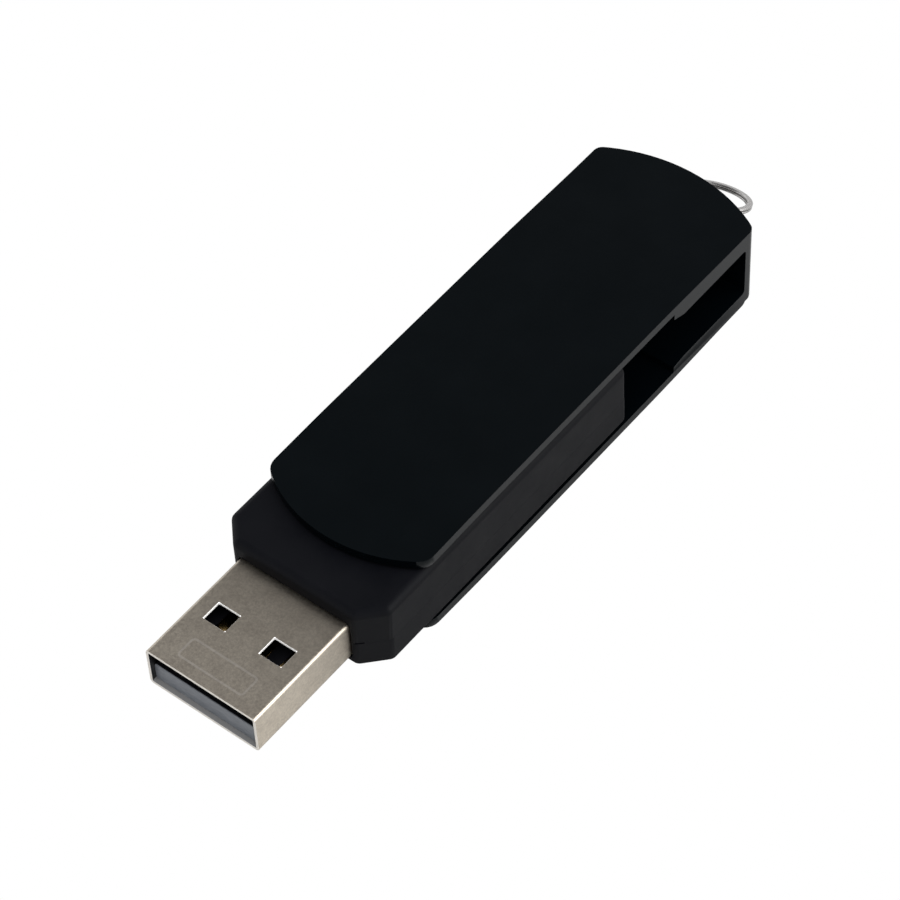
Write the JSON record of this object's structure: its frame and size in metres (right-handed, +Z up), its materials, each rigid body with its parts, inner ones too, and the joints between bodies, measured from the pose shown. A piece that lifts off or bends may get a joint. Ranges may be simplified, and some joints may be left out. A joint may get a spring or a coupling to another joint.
{
  "type": "usb flash drive",
  "caption": "Swivel USB flash drive: a black U-shaped metal cover turns about a plastic-cased drive with a steel USB-A plug, and a small split ring hangs on the cover's closed end.",
  "frame": {"origin": "swivel axis of the cover, on the flat face the cover rests on", "axes": "+X towards the USB plug of the opened drive, along the length; +Z up along the swivel axis; the key ring is at -X"},
  "size_m": [0.0762, 0.0174, 0.0097],
  "materials": {
    "black_metal": "smooth satin black anodised look, cool near-black faces and lighter cut edges",
    "black_plastic": "fine matt black moulded plastic, soft-touch sheen",
    "plug_steel": "warm nickel-plated steel, satin with a fine mottled grain",
    "pin_steel": "ground steel dowel",
    "dark_plastic": "smooth dark moulded plastic",
    "contact_gold": "gold-plated spring strip, polished",
    "board_laminate": "green solder mask over glass laminate",
    "chip_package": "matt black moulding compound",
    "crystal_can": "bright plated can",
    "capacitor_ceramic": "tan fired ceramic",
    "resistor_film": "black glazed film",
    "ring_steel": "bright plated spring steel"
  },
  "bodies": {
    "cover": {"swivel_cover": "black_metal", "pivot_pin_upper": "pin_steel", "pivot_pin_lower": "pin_steel"},
    "drive": {"housing_upper_shell": "black_plastic", "housing_lower_shell": "black_plastic", "plug_shell": "plug_steel", "plug_insulator": "dark_plastic", "contact_power": "contact_gold", "contact_data_minus": "contact_gold", "contact_data_plus": "contact_gold", "contact_ground": "contact_gold", "circuit_board": "board_laminate", "flash_memory_chip": "chip_package", "controller_chip": "chip_package", "crystal": "crystal_can", "capacitor_supply": "capacitor_ceramic", "capacitor_regulator": "capacitor_ceramic", "capacitor_controller": "capacitor_ceramic", "capacitor_flash": "capacitor_ceramic", "capacitor_crystal_a": "capacitor_ceramic", "capacitor_crystal_b": "capacitor_ceramic", "resistor_data_minus": "resistor_film", "resistor_data_plus": "resistor_film", "resistor_pull_up": "resistor_film"},
    "ring": {"split_ring": "ring_steel"}
  },
  "joints": [
    {"name": "drive_swivel", "type": "hinge", "parent": "cover", "child": "drive", "pos_m": [0, 0, 0.00476], "axis": [0, 0, 1], "continuous": true},
    {"name": "ring_flap", "type": "hinge", "parent": "cover", "child": "ring", "pos_m": [-0.03814, 0, 0.00411], "axis": [0, 1, 0], "range_deg": [-60, 120]}
  ]
}
